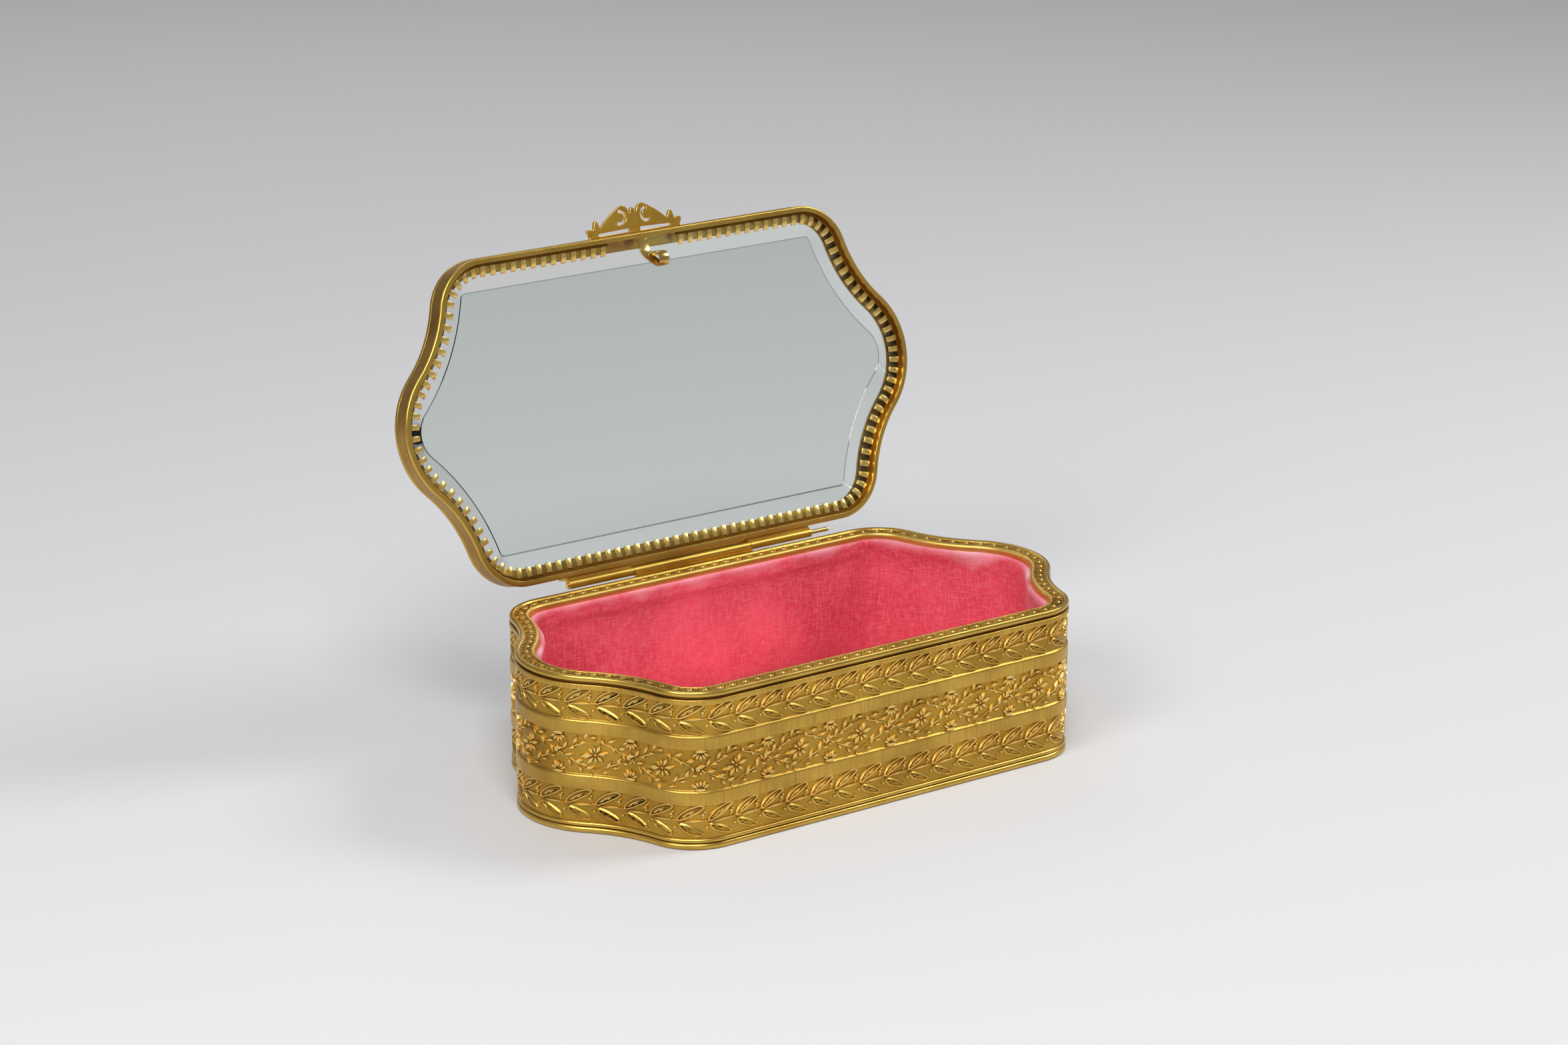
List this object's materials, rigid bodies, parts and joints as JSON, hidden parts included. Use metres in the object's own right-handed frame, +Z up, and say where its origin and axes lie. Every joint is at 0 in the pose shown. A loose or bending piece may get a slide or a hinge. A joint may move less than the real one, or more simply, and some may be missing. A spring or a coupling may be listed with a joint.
{
  "type": "casket",
  "caption": "Small gilt brass keepsake casket with scalloped ends, engraved ornament bands, velvet lining and a hinged bevelled glass lid held by a gallery of claws.",
  "frame": {"origin": "middle of the flat underside of the case", "axes": "+X along the length, +Y towards the hinge at the back, +Z up"},
  "size_m": [0.16, 0.1153, 0.1328],
  "materials": {
    "gilt_brass": "gilt, satin, worn bright on the edges",
    "plain_brass": "polished",
    "glass": "bevelled and polished",
    "velvet": "crimson velvet with a worn nap",
    "card": "plain pasteboard"
  },
  "bodies": {
    "case": {"base_plate": "gilt_brass", "base_bead": "gilt_brass", "side_wall": "gilt_brass", "top_rim": "gilt_brass", "rim_lip": "gilt_brass", "hinge_leaf_case": "gilt_brass", "hinge_pin": "plain_brass", "floor_card": "card", "lining_velvet": "velvet", "floor_pad": "velvet"},
    "lid": {"lid_bead": "gilt_brass", "lid_band": "gilt_brass", "lid_bezel": "gilt_brass", "bezel_lip": "gilt_brass", "lid_glass": "glass", "claw_gallery": "gilt_brass", "hinge_leaf_lid": "gilt_brass", "thumbpiece": "gilt_brass"},
    "catch": {"catch_spring": "plain_brass"}
  },
  "joints": [
    {"name": "lid_hinge", "type": "hinge", "parent": "case", "child": "lid", "pos_m": [0, 0.04456, 0.0418], "axis": [1, 0, 0], "range_deg": [0, 104.6]},
    {"name": "catch_flex", "type": "hinge", "parent": "lid", "child": "catch", "pos_m": [0, 0.06661, 0.12447], "axis": [1, 0, 0], "range_deg": [0, 7], "stiffness_Nm_per_rad": 0.02}
  ]
}
